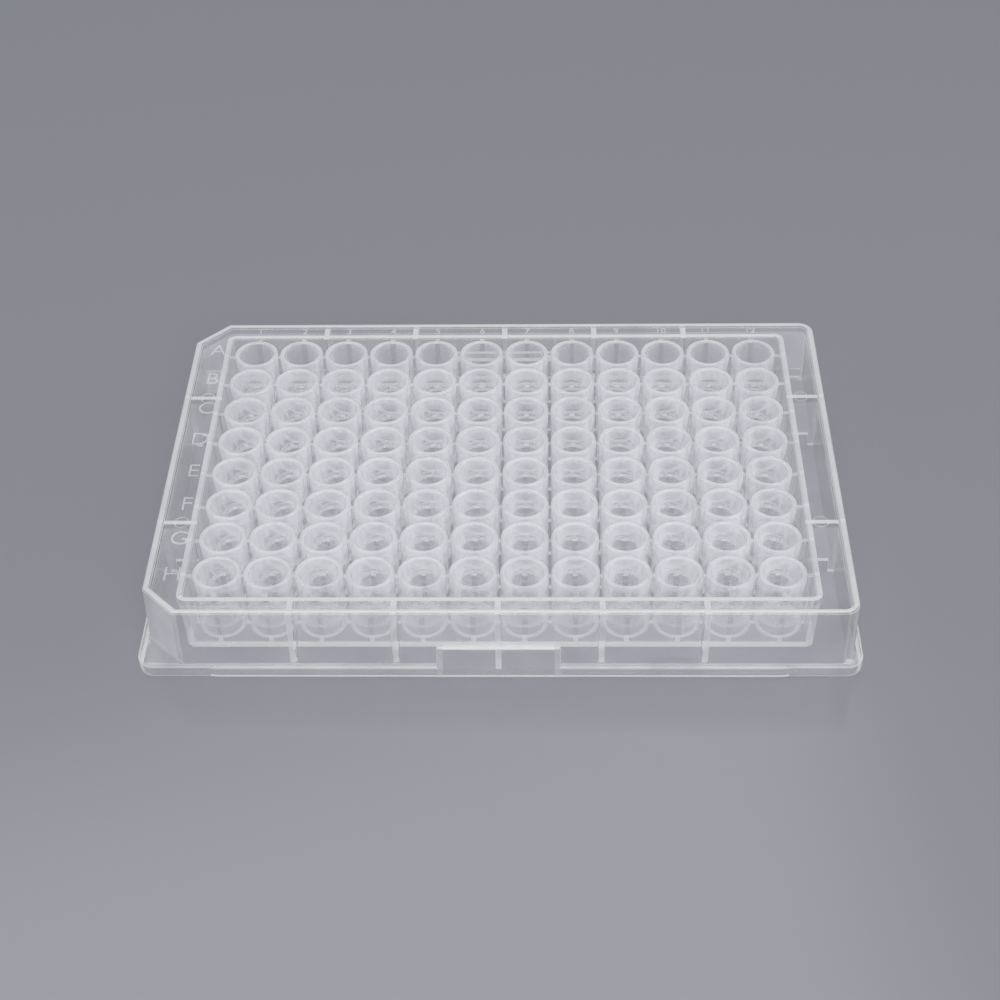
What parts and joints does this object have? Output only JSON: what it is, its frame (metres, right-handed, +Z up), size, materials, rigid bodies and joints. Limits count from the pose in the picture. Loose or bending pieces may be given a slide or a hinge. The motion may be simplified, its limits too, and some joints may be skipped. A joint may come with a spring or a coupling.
{
  "type": "well plate",
  "caption": "Shallow skirted laboratory plate with a grid of round-bottomed wells, for holding many small liquid samples side by side.",
  "frame": {"origin": "middle of the footprint, on the surface the plate stands on", "axes": "+X along the rows, from the end with the two cut corners (column 1) to the far end; +Y towards the first row (row A); +Z up, out of the wells"},
  "size_m": [0.1278, 0.0854, 0.0148],
  "materials": {
    "polypropylene": "milky, translucent, as moulded"
  },
  "bodies": {
    "root": {"well_plate": "polypropylene"}
  },
  "joints": []
}
